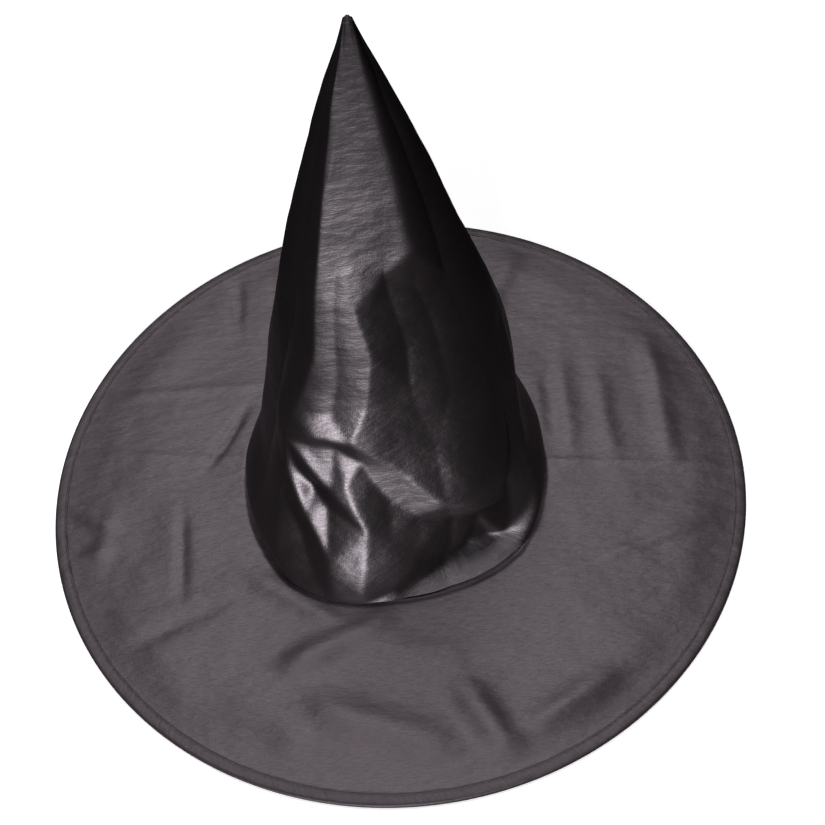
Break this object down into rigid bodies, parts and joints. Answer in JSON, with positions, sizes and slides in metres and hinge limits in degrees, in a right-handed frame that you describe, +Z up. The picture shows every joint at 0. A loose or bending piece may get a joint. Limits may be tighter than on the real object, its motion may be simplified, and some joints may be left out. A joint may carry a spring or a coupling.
{
  "type": "witch hat",
  "caption": "Pointed cloth witch hat: a soft creased cone sewn to a wide flat round brim with a wired, bound edge.",
  "frame": {"origin": "centre of the head opening, on the plane that the brim's underside lies on", "axes": "+Z up along the head opening's axis towards the tip, -Y the front, +X the hat's right seen from the front"},
  "size_m": [0.406, 0.406, 0.3295],
  "materials": {
    "crown_cloth": "satin",
    "brim_cloth": "satin",
    "binding": "satin",
    "interlining": "matte",
    "thread": "satin",
    "sweatband": "satin",
    "label": "satin",
    "wire": "satin"
  },
  "bodies": {
    "root": {"crown_cloth": "crown_cloth", "crown_interlining": "interlining", "crown_seam_allowances": "crown_cloth", "crown_seam_thread": "thread", "tip_tack": "thread", "brim_top_cloth": "brim_cloth", "brim_interlining": "interlining", "brim_under_cloth": "brim_cloth", "edge_binding": "binding", "edge_stitching": "thread", "edge_wire": "wire", "wire_sleeve": "wire", "sweatband": "sweatband", "sweatband_stitching": "thread", "base_seam_stitching": "thread", "care_label": "label"}
  },
  "joints": []
}
